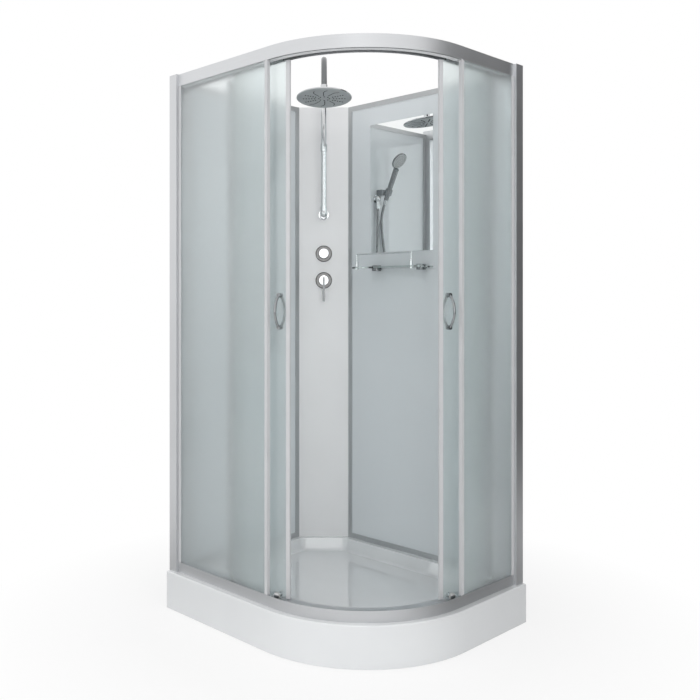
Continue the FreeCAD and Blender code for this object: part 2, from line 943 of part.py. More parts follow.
def make_shelf():
    def is_front_corner(edge):
        upright = edge.BoundBox.ZLength > shelf_thickness / 2
        return upright and edge.BoundBox.YMax < shelf_back - shelf_depth / 2

    plate = rounded(shelf_blank(), shelf_corner, is_front_corner)
    for place in guard_places():
        plate = plate.cut(rod(guard_rod_radius + snug_gap, place + Z * (shelf_height - overrun), Z,
                              shelf_thickness + 2 * overrun))
    return plate


def make_shelf_brackets():
    z0 = shelf_height + shelf_thickness / 2 - drum_height / 2
    drums = []
    for sign in (-1, 1):
        centre = vec(fittings_x + sign * drum_half_span, right_pane_y - drum_setoff - drum_radius, z0)
        drum = rod(drum_radius, centre, Z, drum_height)
        foot = rod(drum_foot_radius, centre + Z * (drum_height / 2), Y, drum_radius + drum_setoff)
        drums.append(fuse([drum, foot]).cut(shelf_blank(snug_gap)))
    return drums


def make_guard_rail():
    bar_z = shelf_height + guard_height
    top = shelf_height + shelf_thickness
    pieces = []
    for place in guard_places():
        pieces.append(rod(guard_barrel_radius, place + Z * top, Z, guard_barrel_height))
        nut_start = place + Z * (shelf_height - guard_nut_height)
        pieces.append(rod(guard_barrel_radius, nut_start, Z, guard_nut_height))
        pieces.append(rod(guard_rod_radius, place + Z * shelf_height, Z, guard_height))
        pieces.append(ball(guard_rod_radius, place + Z * bar_z))
    start, _ = guard_places()
    pieces.append(rod(guard_rod_radius, start + Z * bar_z, X, 2 * guard_half_span))
    return fuse(pieces)


# Valve, knobs and feed pipes
def make_valve():
    low = mixer_height - valve_overhang
    high = diverter_height + valve_overhang
    axis = vec(0, valve_setback, low)
    pieces = [rod(valve_radius, axis, Z, high - low)]
    bores = [rod(valve_bore, axis + Z * valve_floor, Z, high - low)]
    for z in (mixer_height, diverter_height):
        front_y = -valve_sleeve_reach
        pieces.append(rod(valve_sleeve_radius, vec(0, front_y, z), Y, valve_setback - front_y))
        bores.append(rod(knob_stem_radius + running_gap, vec(0, front_y, z), Y, knob_stem_length))
    bar_start = vec(-inlet_spread - inlet_bar_radius, valve_setback, mixer_height)
    pieces.append(rod(inlet_bar_radius, bar_start, X, 2 * (inlet_spread + inlet_bar_radius)))
    for sign in (-1, 1):
        top = vec(sign * inlet_spread, valve_setback, mixer_height)
        shoulder = inlet_bar_radius + inlet_collar
        pieces.append(rod(inlet_collar_radius, top, -Z, shoulder))
        pieces.append(rod(inlet_radius, top, -Z, shoulder + inlet_length))
        bores.append(rod(inlet_bore, top, -Z, shoulder + inlet_length + overrun))
    body = fuse(pieces)
    for bore in bores:
        body = body.cut(bore)
    return on_column(body)


def make_rosette(z):
    cone = Part.makeCone(rosette_radius, rosette_front_radius, rosette_thickness, vec(0, 0, z), -Y)
    return on_column(cone.cut(rod(rosette_bore, vec(0, 0, z), -Y, rosette_thickness)))


knob_back = -rosette_thickness - knob_gap
knob_face = knob_back - knob_length


def make_knob(z):
    cap = Part.makeCone(knob_radius, knob_front_radius, knob_length, vec(0, knob_back, z), -Y)

    def is_front_rim(edge):
        return edge.BoundBox.YMax < knob_face + overrun

    cap = rounded(cap, knob_round, is_front_rim)
    stem_end = knob_stem_length - valve_sleeve_reach - fit_gap
    stem = rod(knob_stem_radius, vec(0, knob_back, z), Y, stem_end - knob_back)
    return cap.fuse(stem)


lever_pin_y = knob_face + lever_pin_setback


def make_mixer_hub():
    hub = make_knob(mixer_height)
    half = hub_slot_width / 2
    slot = box(-half, half, knob_face - overrun, knob_back - hub_slot_floor,
               mixer_height - knob_radius - overrun, mixer_height + knob_radius + overrun)
    pin_start = vec(-knob_radius, lever_pin_y, mixer_height)
    pin_hole = rod(lever_pin_radius + running_gap, pin_start, X, 2 * knob_radius)
    return on_column(hub.cut(slot).cut(pin_hole))


def make_lever():
    """A flat blade in the hub's slot on a cross pin, hanging straight down."""
    half = lever_thickness / 2
    y0 = lever_pin_y - lever_depth / 2
    y1 = lever_pin_y + lever_depth / 2
    top = mixer_height + lever_top
    low = mixer_height - lever_drop
    outline = [vec(-half, y0, top), vec(-half, y1, top), vec(-half, y1, mixer_height - knob_radius),
               vec(-half, y0 + lever_tip_depth, low), vec(-half, y0, low)]
    blade = Part.Face(Part.makePolygon(outline + outline[:1])).extrude(X * lever_thickness)
    pin = rod(lever_pin_radius, vec(-lever_pin_length / 2, lever_pin_y, mixer_height), X, lever_pin_length)
    return on_column(fuse([blade, pin]))


def bent_path(points, bend):
    """Straight runs and tangent arcs as a list of edges, and the radii that bend gives the arcs."""
    edges = []
    radii = []
    last = points[0]
    for before, at, after in zip(points, points[1:], points[2:]):
        come = at - before
        go = after - at
        half = come.getAngle(go) / 2
        radius = bend(min(come.Length, go.Length), half)
        start, middle, end = corner_arc(before, at, after, radius)
        edges.append(Part.LineSegment(last, start).toShape())
        edges.append(Part.Arc(start, middle, end).toShape())
        radii.append(radius)
        last = end
    edges.append(Part.LineSegment(last, points[-1]).toShape())
    return edges, radii


def ring(radius, place, tangent):
    """A circle square to a path, its start on the side away from the wall."""
    circle = Part.makeCircle(radius)
    circle.Placement = FreeCAD.Placement(place, FreeCAD.Rotation(X, Y, tangent, "ZXY"))
    return Part.Wire(circle)


def pipe_run(points, radius, bend_radius):
    """A bent pipe: straight stretches with round bends."""
    edges, _ = bent_path(points, lambda run, half: bend_radius)
    section = ring(radius, points[0], (points[1] - points[0]).normalize())
    return Part.Wire(edges).makePipeShell([section], True, False)


hand_feed_x = left_pane_x - back_pane_thickness - hand_feed_setback
hand_feed_start = column_mid + turned(Part.Vertex(vec(-valve_radius, valve_setback)), column_degrees).Point


def hand_feed_notch():
    """Notch for the hand shower's feed in the column's return and the pane's frame, open to the wall."""
    half = hand_feed_radius + hand_feed_clear
    return box(left - overrun, hand_feed_x + half, column_y - wall_depth, column_y + wall_depth,
               outlet_height - half, outlet_height + half)


def make_feed_pipes():
    valve_top = diverter_height + valve_overhang
    tail_bottom = riser_height - elbow_block / 2
    riser_feed = tube(feed_radius, feed_bore, vec(0, valve_setback, valve_top), Z, tail_bottom - valve_top)
    turn_y = column_y + wall_depth + valve_radius
    route = [
        hand_feed_start + Z * diverter_height,
        vec(hand_feed_x, turn_y, diverter_height),
        vec(hand_feed_x, turn_y, outlet_height),
        vec(hand_feed_x, outlet_y + outlet_tail_radius, outlet_height),
    ]
    valve_side = on_column(rod(valve_radius + fit_gap, vec(0, valve_setback, mixer_height), Z,
                               diverter_height + valve_overhang - mixer_height))
    return [on_column(riser_feed), pipe_run(route, hand_feed_radius, hand_feed_bend).cut(valve_side)]


# Riser and rain shower
def make_riser_elbow():
    axis = vec(0, 0, riser_height)
    joint = vec(0, -riser_standoff, riser_height)
    block_half = elbow_block / 2
    pieces = [
        rod(elbow_radius, joint, Y, riser_standoff),
        ball(elbow_ball_radius, joint),
        rod(elbow_flange_radius, axis, -Y, elbow_flange),
        rod(elbow_socket_radius, joint, Z, elbow_socket_height),
        rod(elbow_tail_radius, axis, Y, valve_setback),
        box(-block_half, block_half, valve_setback - block_half, valve_setback + block_half,
            riser_height - block_half, riser_height + block_half),
    ]
    socket_floor = joint + Z * (elbow_socket_height - elbow_socket_depth)
    socket = rod(riser_radius + running_gap, socket_floor, Z, elbow_socket_depth)
    water = rod(feed_radius, joint, Y, riser_standoff + valve_setback)
    climb = rod(feed_radius, joint, Z, elbow_socket_height)
    drop = rod(feed_bore, vec(0, valve_setback, riser_height), -Z, block_half)
    body = fuse(pieces).cut(socket).cut(water).cut(climb).cut(drop)
    return on_column(body)


def make_riser_pipe():
    low = riser_height + elbow_socket_height - elbow_socket_depth
    return on_column(tube(riser_radius, riser_bore, vec(0, -riser_standoff, low), Z, riser_joint - low))


def make_union():
    start = vec(0, -riser_standoff, riser_joint - union_length / 2)
    sleeve = tube(union_radius, riser_radius + running_gap, start, Z, union_length)

    def is_outer_rim(edge):
        return edge.BoundBox.XMax > union_radius - overrun and edge.BoundBox.ZLength < overrun

    return on_column(rounded(sleeve, union_round, is_outer_rim))


arm_spring_z = riser_joint + arm_straight
arm_end_angle = math.radians(arm_bend_degrees)
arm_arc_end = vec(0, -riser_standoff - arm_radius * (1 - math.cos(arm_end_angle)),
                  arm_spring_z + arm_radius * math.sin(arm_end_angle))
arm_lean = 180 - arm_bend_degrees
arm_down = vec(0, -math.sin(math.radians(arm_lean)), -math.cos(math.radians(arm_lean)))
arm_end = arm_arc_end + arm_down * arm_tail


def arm_sweep(radius):
    """The gooseneck: a straight climb, one round bend and a short straight tail."""
    foot = vec(0, -riser_standoff, riser_joint)
    centre = vec(0, -riser_standoff - arm_radius, arm_spring_z)
    section = Part.Face(Part.Wire(Part.makeCircle(radius, vec(0, -riser_standoff, arm_spring_z), Z)))
    return fuse([rod(radius, foot, Z, arm_straight), section.revolve(centre, X, arm_bend_degrees),
                 rod(radius, arm_arc_end, arm_down, arm_tail)])


def make_rain_arm():
    return on_column(arm_sweep(riser_radius).cut(arm_sweep(riser_bore)))


def on_arm_end(shape):
    """Rain head pieces are drawn hanging straight down from the arm's end at the origin."""
    return on_column(moved(turned(shape, -arm_lean, X), arm_end))


def make_swivel_nut():
    body = rod(swivel_radius, vec(0, 0, -swivel_below), Z, swivel_above + swivel_below)
    seat = rod(riser_radius + running_gap, vec(0, 0, 0), Z, swivel_above)
    cup = ball(swivel_ball_radius + running_gap, vec(0, 0, -swivel_ball_drop))
    mouth = rod(swivel_mouth_radius, vec(0, 0, -swivel_below), Z, swivel_below - swivel_ball_drop)
    return on_arm_end(body.cut(seat).cut(cup).cut(mouth))


def make_rain_head():
    rim_top = head_face_drop - face_thickness - head_edge_height
    shoulder_drop = head_top_drop + (head_face_drop - head_top_drop - head_shoulder_height) / 2
    profile = [
        (0, swivel_ball_drop), (head_stem_radius, swivel_ball_drop), (head_stem_radius, head_top_drop),
        (head_shoulder_radius, shoulder_drop), (head_radius - face_margin, rim_top),
        (head_radius, rim_top + face_margin), (head_radius, head_face_drop - face_thickness),
        (0, head_face_drop - face_thickness),
    ]
    body = lathe(profile, vec(0, 0), -Z)
    swivel_ball = ball(swivel_ball_radius, vec(0, 0, -swivel_ball_drop))
    return on_arm_end(fuse([body, swivel_ball]))


def make_rain_face():
    disc = rod(head_radius - face_margin, vec(0, 0, -head_face_drop), Z, face_thickness)

    def is_low_rim(edge):
        return edge.BoundBox.ZMax < face_thickness / 2 - head_face_drop

    return on_arm_end(rounded(disc, face_thickness / 2, is_low_rim))


# Hand shower
cradle = vec(left_pane_x + cradle_reach, holder_y, holder_height)


def in_cradle(shape):
    """Hand shower pieces are drawn upright with the cradle's middle at the origin, the spray facing +X."""
    return moved(turned(shape, handset_tilt_degrees, Y), cradle)


def handle_cone(grow):
    taper = handle_high_radius - handle_low_radius
    length = handle_low + handle_high
    if grow:
        extra = cradle_length
        slope = taper / length * extra
        return Part.makeCone(handle_low_radius - slope + grow, handle_high_radius + slope + grow,
                             length + 2 * extra, vec(0, 0, -handle_low - extra))
    return Part.makeCone(handle_low_radius, handle_high_radius, length, vec(0, 0, -handle_low))


def make_holder():
    x0 = left_pane_x
    half = holder_block / 2
    high = holder_block_height / 2
    block = box(x0, x0 + holder_block_reach, holder_y - half, holder_y + half,
                holder_height - high, holder_height + high)

    def is_front(edge):
        return edge.BoundBox.XMin > x0 + holder_block_reach - overrun

    block = rounded(block, holder_round, is_front)
    taper = handle_high_radius - handle_low_radius
    mean = handle_low_radius + taper * handle_low / (handle_low + handle_high)
    ring = rod(mean + cradle_wall, vec(0, 0, -cradle_length / 2), Z, cradle_length)
    arm_half = holder_arm_half_width
    arm = box(x0 + holder_block_reach - holder_round, cradle.x, holder_y - arm_half, holder_y + arm_half,
              holder_height - arm_half, holder_height + arm_half)
    return fuse([block, arm, in_cradle(ring)]).cut(in_cradle(handle_cone(fit_gap)))


def on_spray_head(shape):
    """The spray head is drawn at the origin facing +X."""
    return moved(turned(shape, spray_head_tilt_degrees, Y), vec(spray_head_forward, 0, spray_head_high))


def make_handset():
    depth = spray_head_depth - spray_face_thickness
    profile = [(0, -depth), (spray_head_back_radius, -depth), (spray_head_radius, -spray_head_rim),
               (spray_head_radius, 0), (0, 0)]
    head = on_spray_head(lathe(profile, vec(0, 0), X))
    ahead = on_spray_head(rod(spray_head_radius, vec(0, 0), X, handle_high))
    return in_cradle(fuse([handle_cone(0), head]).cut(ahead))


def make_handset_face():
    disc = rod(spray_face_radius, vec(0, 0), X, spray_face_thickness)
    return in_cradle(on_spray_head(disc))


def make_handset_nut():
    nut = Part.makeCone(hose_nut_radius, hose_nut_end_radius, hose_nut_length, vec(0, 0, -handle_low), -Z)
    return in_cradle(nut)


def make_hand_outlet():
    axis = vec(left_pane_x, outlet_y, outlet_height)
    ball_middle = axis + X * outlet_reach
    pieces = [
        rod(outlet_flange_radius, axis, X, outlet_flange),
        rod(outlet_radius, axis, X, outlet_reach),
        ball(outlet_ball_radius, ball_middle),
        rod(outlet_stub_radius, ball_middle, -Z, outlet_stub_length),
        rod(outlet_tail_radius, axis, -X, back_pane_thickness + hand_feed_setback),
    ]
    half = outlet_tail_radius
    tail = box(hand_feed_x - outlet_tail_overlap, left_pane_x - back_pane_thickness - fit_gap,
               outlet_y - half, outlet_y + half, outlet_height - half, outlet_height + half)
    trim = rod(outlet_flange_radius, axis, -X, outlet_ball_radius)
    front_half = fuse(pieces[:4]).cut(trim)
    return fuse([front_half, pieces[4], tail])


def make_outlet_nut():
    start = vec(left_pane_x + outlet_reach, outlet_y, outlet_height - outlet_stub_length)
    return rod(hose_nut_radius, start, -Z, hose_nut_length)


# Hose
def hose_points():
    """The chosen route, ended with a straight run into the hand shower's nut along its own axis."""
    tip = -handle_low - hose_nut_length - fit_gap
    last = [in_cradle(Part.Vertex(vec(0, 0, z))).Point for z in (tip - hose_end_run, tip)]
    return [vec(*p) for p in hose_route] + last


def hose_ring(edges, distance, radius):
    for edge in edges:
        if distance <= edge.Length or edge is edges[-1]:
            break
        distance -= edge.Length
    parameter = edge.getParameterByLength(min(max(distance, 0), edge.Length))
    return ring(radius, edge.valueAt(parameter), edge.tangentAt(parameter))


def make_hose():
    """Ribbed hose with its bore: plain ends one diameter long and ribs between them."""
    edges, radii = bent_path(hose_points(), lambda run, half: hose_bend_share * run / math.tan(half))
    length = sum(edge.Length for edge in edges)
    print("hose length", round(length, 1), "bend radii", [round(r) for r in radii])
    end = 2 * hose_radius
    pitch = (length - 2 * end) / hose_ribs
    radii_of_rib = (hose_valley_radius, hose_radius, hose_radius, hose_valley_radius)
    stations = [(0, hose_valley_radius)]
    for rib in range(hose_ribs):
        for share, radius in zip(hose_rib_shares, radii_of_rib):
            stations.append((end + (rib + share) * pitch, radius))
    stations.append((length - end, hose_valley_radius))
    stations.append((length, hose_valley_radius))
    skin = Part.makeLoft([hose_ring(edges, d, r) for d, r in stations], True, True)
    bore_stations = sorted({d for d, _ in stations[::4]} | {0, length})
    bore = Part.makeLoft([hose_ring(edges, d, hose_bore) for d in bore_stations], True, True)
    return skin.cut(bore)


os.makedirs("parts", exist_ok=True)

save("tray", make_tray())
save("tray_frame", make_support_frame())
save("levelling_feet", *make_feet())
save("drain_trap", make_trap())
save("drain_cover", make_drain_cover())

save("lower_rail", make_lower_rail())
save("upper_rail", make_upper_rail())
save("fixed_edge_strips", *[make_edge_strip(side) for side in runs])
save("glazing_beads", *[make_bead(side) for side in runs])
for side in runs:
    save(side + "_wall_profile", make_post(side))
    save(side + "_fixed_glass", make_fixed_pane(side))
    save(side + "_door_glass", in_door(make_door_glass(), side))
    save(side + "_door_magnet_strip", in_door(make_magnet_strip(), side))
    save(side + "_door_rear_seal", in_door(make_rear_seal(), side))
    save(side + "_door_handles", *[in_door(bow, side) for bow in make_handles()])
    save(side + "_door_roller_bolts",
         *[in_door(at_door(make_roller_bolt(z), d), side) for d, z in roller_places.values()])
    for place, (d, z) in roller_places.items():
        save(side + "_wheel_" + place, in_door(at_door(make_wheel(z), d), side))

save("left_back_frame", on_left_wall(wall_frame(left_wall_length)).cut(hand_feed_notch()))
outlet_hole = rod(outlet_hole_radius, vec(left, outlet_y, outlet_height), X, wall_depth)
save("left_back_glass", on_left_wall(wall_pane(left_wall_length)).cut(outlet_hole))
save("right_back_frame", on_right_wall(wall_frame(right_wall_length)))
save("right_back_glass", on_right_wall(wall_pane(right_wall_length)))
save("corner_column", make_column())
save("mirror", make_mirror())
save("shelf_plate", make_shelf())
save("shelf_brackets", *make_shelf_brackets())
save("shelf_guard_rail", make_guard_rail())

save("valve_body", make_valve())
save("feed_pipes", *make_feed_pipes())
save("valve_rosettes", make_rosette(mixer_height), make_rosette(diverter_height))
save("diverter_knob", on_column(make_knob(diverter_height)))
save("mixer_hub", make_mixer_hub())
save("mixer_lever", make_lever())
save("riser_elbow", make_riser_elbow())
save("riser_pipe", make_riser_pipe())
save("riser_union", make_union())
save("rain_arm", make_rain_arm())
save("rain_swivel_nut", make_swivel_nut())
save("rain_head", make_rain_head())
save("rain_face", make_rain_face())

save("hand_outlet", make_hand_outlet())
save("handset_holder", make_holder())
save("handset_body", make_handset())
save("handset_face", make_handset_face())
save("hose_handset_nut", make_handset_nut())
save("hose_outlet_nut", make_outlet_nut())
save("shower_hose", make_hose())

mirrored = on_side(Part.Vertex(pivot), "right").Point
for side, place, turn in (("left", pivot, door_turn), ("right", mirrored, -door_turn)):
    print(side, "door pivot", [round(c, 3) for c in (place.x, place.y)], "turn to close", round(turn, 4))
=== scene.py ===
# %% [markdown]
# # A corner shower cabin, dressed for a photograph
# The solid pieces of the cabin come ready made, at their true size and in their true place. This lesson gives
# each of them a finish, adds the pieces that are too fine for the solids, and sets up the camera and the light.
# We start by loading the solids.

# %% Load the solid pieces
import math

import bpy
from mathutils import Matrix, Vector
from mathutils.kdtree import KDTree


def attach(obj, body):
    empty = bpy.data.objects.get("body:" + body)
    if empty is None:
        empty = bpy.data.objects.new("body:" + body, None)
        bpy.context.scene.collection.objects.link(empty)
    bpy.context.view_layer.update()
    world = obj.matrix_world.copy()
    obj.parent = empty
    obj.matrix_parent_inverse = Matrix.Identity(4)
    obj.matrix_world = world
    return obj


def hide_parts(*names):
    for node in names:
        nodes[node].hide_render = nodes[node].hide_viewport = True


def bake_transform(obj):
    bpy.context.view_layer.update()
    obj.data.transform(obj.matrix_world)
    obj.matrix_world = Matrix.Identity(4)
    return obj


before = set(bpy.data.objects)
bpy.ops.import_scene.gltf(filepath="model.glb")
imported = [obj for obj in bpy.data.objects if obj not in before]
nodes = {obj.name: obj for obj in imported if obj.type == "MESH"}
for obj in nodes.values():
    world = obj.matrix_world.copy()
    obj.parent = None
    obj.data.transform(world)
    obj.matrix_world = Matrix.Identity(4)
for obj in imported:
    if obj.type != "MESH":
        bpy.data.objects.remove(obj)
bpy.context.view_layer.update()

scene = bpy.context.scene

# %% [markdown]
# ## The camera
# A photograph fixes where the camera stood: the cabin's upright edges stay upright, so the camera is level, and
# the picture was cropped off centre, so the lens is shifted. The numbers below were solved from the cabin's own
# corners. Focal length and picture centre are in pixels of a square picture, and the sensor is Blender's usual one.

# %% Camera
picture_size = 700
focal_pixels = 849.763
picture_centre = (311.511, 297.172)
camera_place = (2.31273, -2.43473, 1.2546)
camera_yaw = 0.774937
camera_data = bpy.data.cameras.new("camera")
camera_data.sensor_width = 36.0
camera_data.lens = focal_pixels / picture_size * camera_data.sensor_width
camera_data.shift_x = (picture_size / 2 - picture_centre[0]) / picture_size
camera_data.shift_y = (picture_centre[1] - picture_size / 2) / picture_size
camera = bpy.data.objects.new("camera", camera_data)
camera.location = camera_place
camera.rotation_euler = (math.radians(90), 0, math.radians(90) - camera_yaw)
scene.collection.objects.link(camera)
scene.camera = camera
print("lens", round(camera_data.lens, 2), "shift", round(camera_data.shift_x, 4), round(camera_data.shift_y, 4))

# %% [markdown]
# ## Writing finishes as sums
# A finish in Blender is a web of nodes. Drawing one by hand is slow to read back, so two small classes let us write
# it as ordinary Python: `Value` wraps an output socket and turns `+ - *` into Math nodes, and `Finish` holds one
# material and makes any other node from its type, its settings and its inputs.

# %% Shader helpers
class Value:
    """An output socket that can stand in a sum."""

    def __init__(self, finish, socket):
        self.finish = finish
        self.socket = socket

    def _math(self, operation, a, b):
        return self.finish.node("ShaderNodeMath", {"operation": operation}, {0: a, 1: b})

    def __add__(self, other):
        return self._math("ADD", self, other)

    def __radd__(self, other):
        return self._math("ADD", other, self)

    def __sub__(self, other):
        return self._math("SUBTRACT", self, other)

    def __rsub__(self, other):
        return self._math("SUBTRACT", other, self)

    def __mul__(self, other):
        return self._math("MULTIPLY", self, other)

    def __rmul__(self, other):
        return self._math("MULTIPLY", other, self)

    def above(self, limit):
        return self._math("GREATER_THAN", self, limit)

    def larger(self, other):
        return self._math("MAXIMUM", self, other)


class Finish:
    """One material, or the world's light, while its nodes are being made."""

    def __init__(self, name, owner=None):
        self.owner = owner or bpy.data.materials.new(name)
        self.owner.use_nodes = True
        self.tree = self.owner.node_tree
        self.tree.nodes.clear()

    def node(self, kind, settings=None, inputs=None, output=0):
        made = self.tree.nodes.new(kind)
        for key, value in (settings or {}).items():
            setattr(made, key, value)
        for key, value in (inputs or {}).items():
            if isinstance(value, Value):
                self.tree.links.new(value.socket, made.inputs[key])
            else:
                made.inputs[key].default_value = value
        return Value(self, made.outputs[output])

    def place(self, scale=(1, 1, 1)):
        """Object coordinates in metres, stretched by a scale."""
        coords = self.node("ShaderNodeTexCoord", output="Object")
        return self.node("ShaderNodeMapping", None, {"Vector": coords, "Scale": scale})

    def noise(self, scale, detail=2.0, stretch=(1, 1, 1)):
        return self.node("ShaderNodeTexNoise", None,
                         {"Vector": self.place(stretch), "Scale": scale, "Detail": detail})

    def blend(self, factor, first, second):
        """A colour between two colours."""
        return self.node("ShaderNodeMix", {"data_type": "RGBA"}, {"Factor": factor, 6: first, 7: second}, output=2)

    def ramp(self, factor, low, high):
        """A value that climbs from 0 at low to 1 at high."""
        return self.node("ShaderNodeMapRange", None, {"Value": factor, "From Min": low, "From Max": high})

    def bump(self, height, distance, strength=1.0):
        return self.node("ShaderNodeBump", None, {"Height": height, "Distance": distance, "Strength": strength})

    def surface(self, **inputs):
        shader = self.node("ShaderNodeBsdfPrincipled", None,
                           {key.replace("_", " "): value for key, value in inputs.items()})
        self.show(shader)
        return self.owner

    def show(self, shader, kind="ShaderNodeOutputMaterial"):
        end = self.tree.nodes.new(kind)
        self.tree.links.new(shader.socket, end.inputs["Surface"])


def tone(red, green, blue):
    """A screen colour from 0 to 255 as the linear colour that Blender works in."""
    parts = [c / 255 for c in (red, green, blue)]
    return tuple(c / 12.92 if c <= 0.04045 else ((c + 0.055) / 1.055) ** 2.4 for c in parts) + (1.0,)


print("helpers ready")

# %% [markdown]
# ## White moulded tray
# The tray is acrylic sheet, drawn hot over a mould: very smooth, with a faint unevenness where light glides over
# it, and a clear gloss. Two soft noises tint it by a hair and vary the gloss; a bump far below a millimetre gives
# the slow ripple of formed plastic.

# %% Acrylic
def make_acrylic():
    f = Finish("white_acrylic")
    cloud = f.noise(5, 3)
    ripple = f.noise(28, 2)
    colour = f.blend(cloud, tone(219, 221, 223), tone(228, 230, 231))
    return f.surface(Base_Color=colour, Roughness=0.05 + cloud * 0.05, IOR=1.49, Coat_Weight=1.0,
                     Coat_Roughness=0.02, Normal=f.bump(ripple, 0.00006))


acrylic = make_acrylic()
print(acrylic.name)

# %% [markdown]
# ## Satin aluminium
# Rails and posts are pressed through a die and anodised. The die leaves fine lines that run the whole length of the
# bar, so the noise is stretched along the bar: lines lie level on the rails and upright on the posts. The lines
# show mostly in the roughness and a little in the colour. Undersides, picked out by the normal's Z, are made matt,
# less metallic and painted pale: painted light where they would lie in shade. The bars are copies of one aluminium:
# the upper rail is the brightest, and the sill and the frames of the back panes are greyer copies, painted shade.

# %% Aluminium
def make_aluminium(name, stretch, dark, light):
    f = Finish(name)
    lines = f.noise(1, 4, stretch)
    patches = f.noise(6, 2)
    facing = f.node("ShaderNodeNewGeometry", output="Normal")
    upward = f.node("ShaderNodeSeparateXYZ", None, {0: facing}, output="Z")
    underside_limit = 0.6
    # painted light: faces that look down get a pale, matt colour instead of their shade
    painted_light_underside = (0 - upward).above(underside_limit)
    bright = f.blend(lines * 0.7 + patches * 0.3, tone(*dark), tone(*light))
    colour = f.blend(painted_light_underside, bright, tone(240, 241, 242))
    return f.surface(Base_Color=colour, Metallic=1 - painted_light_underside * 0.8,
                     Roughness=0.34 + lines * 0.16 + patches * 0.05 + painted_light_underside * 0.25, Normal=f.bump(lines, 0.00006))


along_level = (4, 4, 900)
along_upright = (900, 900, 4)
rail_metal = make_aluminium("satin_aluminium_rail", along_level, (214, 216, 218), (230, 231, 233))
# the sill and the back frames are greyer copies of the same aluminium: painted shade
shaded_sill_metal = make_aluminium("satin_aluminium_sill_painted_shade", along_level, (200, 202, 204), (214, 215, 217))
post_metal = make_aluminium("satin_aluminium_post", along_upright, (208, 210, 212), (228, 229, 231))
shaded_frame_metal = make_aluminium("satin_aluminium_frame_painted_shade", along_upright, (184, 186, 188), (202, 204, 205))
print(rail_metal.name, shaded_sill_metal.name, post_metal.name, shaded_frame_metal.name)

# %% [markdown]
# ## Frosted glass
# The side panes and doors are etched: light passes, but no clear picture does. That is transmission with a high
# roughness. The etched grain is a very fine bump, and a slow noise makes some areas a touch clearer than others,
# as acid etching does. The tint is the green-grey of thick float glass, painted paler on the side panes as painted
# light and a little deeper on the doors as painted shade.

# %% Frosted glass
def make_frosted_glass(name, dark, light):
    f = Finish(name)
    cloud = f.noise(3, 2)
    grain = f.noise(2600, 1)
    colour = f.blend(cloud, tone(*dark), tone(*light))
    return f.surface(Base_Color=colour, Transmission_Weight=0.93, Roughness=0.23 + cloud * 0.05, IOR=1.45,
                     Normal=f.bump(grain, 0.00008, 0.5))


# the side panes get a paler copy of the glass, painted light, and the doors a deeper one, painted shade
lit_pane_glass = make_frosted_glass("frosted_pane_painted_light", (243, 248, 249), (248, 252, 252))
shaded_door_glass = make_frosted_glass("frosted_door_painted_shade", (234, 242, 242), (240, 246, 246))
print(lit_pane_glass.name, shaded_door_glass.name)

# %% [markdown]
# ## Back panes, column and shelf
# The two back panes are glass that is coloured grey from behind, so they look solid but keep a clear gloss: a plain
# body colour under a coat. The column is a pale pressed panel. The shelf is clear glass.

# %% Panels
def make_back_glass():
    f = Finish("grey_backed_glass")
    cloud = f.noise(2.2, 2)
    colour = f.blend(cloud, tone(214, 219, 222), tone(221, 226, 229))
    return f.surface(Base_Color=colour, Roughness=0.3 + cloud * 0.08, IOR=1.5, Coat_Weight=0.8, Coat_Roughness=0.02)


def make_column_panel():
    f = Finish("pale_panel")
    cloud = f.noise(4, 2)
    peel = f.noise(420, 1)
    colour = f.blend(cloud, tone(233, 233, 234), tone(240, 240, 241))
    return f.surface(Base_Color=colour, Roughness=0.28 + cloud * 0.1, Coat_Weight=0.2, Coat_Roughness=0.12,
                     Normal=f.bump(peel, 0.00004))


def make_clear_glass():
    f = Finish("clear_glass")
    smear = f.noise(30, 3)
    colour = f.blend(smear, tone(232, 243, 240), tone(244, 250, 248))
    return f.surface(Base_Color=colour, Transmission_Weight=1.0, Roughness=0.01 + smear * 0.03, IOR=1.5)


back_glass = make_back_glass()
column_panel = make_column_panel()
clear_glass = make_clear_glass()
print(back_glass.name, column_panel.name, clear_glass.name)

# %% [markdown]
# ## Chrome, mirror and the other metals
# Plated brass mirrors its surroundings, with a faint veil of dried drops that softens the shine here and there. One
# recipe gives it several depths: bright for pipes and nuts, and darker copies of the same plating, painted shade, for
# the door handles, the hand shower and its hose, the lever and the shelf's drums, and darkest for the rings round the
# valves; some copies are also rougher. The rain arm is bright at the column and rougher in front, where its colour is
# painted dark grey as painted shade, mixed by the place along the arm. The mirror is the same idea with hardly any
# veil.
# Brass and zinc coat are for what hides behind the panels: brass has a slow colour drift, and zinc shows the patchwork
# of its crystals, which a Voronoi pattern draws.

# %% Metals
def make_chrome(name, dark, light, roughness):
    f = Finish(name)
    veil = f.noise(55, 4)
    drop_rim, drop_core = 0.56, 0.7
    drops = f.ramp(f.noise(240, 2), drop_rim, drop_core)
    colour = f.blend(veil, tone(*dark), tone(*light))
    return f.surface(Base_Color=colour, Metallic=1.0, Roughness=roughness + veil * 0.02 + drops * 0.02)


def make_arm_chrome():
    """Bright where the arm rises at the column; rougher in front, where it is painted dark grey as painted shade."""
    f = Finish("arm_chrome")
    veil = f.noise(55, 4)
    spot = f.node("ShaderNodeTexCoord", output="Object")
    across = f.node("ShaderNodeSeparateXYZ", None, {0: spot}, output="X")
    along = f.node("ShaderNodeSeparateXYZ", None, {0: spot}, output="Y")
    bend_start, bend_end = -0.44, -0.39
    # painted shade: the part of the arm in front gets a dark grey colour
    front = f.ramp(across - along, bend_start, bend_end)
    bright = f.blend(veil, tone(206, 208, 210), tone(222, 224, 225))
    colour = f.blend(front, bright, tone(124, 126, 128))
    return f.surface(Base_Color=colour, Metallic=1.0, Roughness=0.04 + veil * 0.05 + front * 0.24)


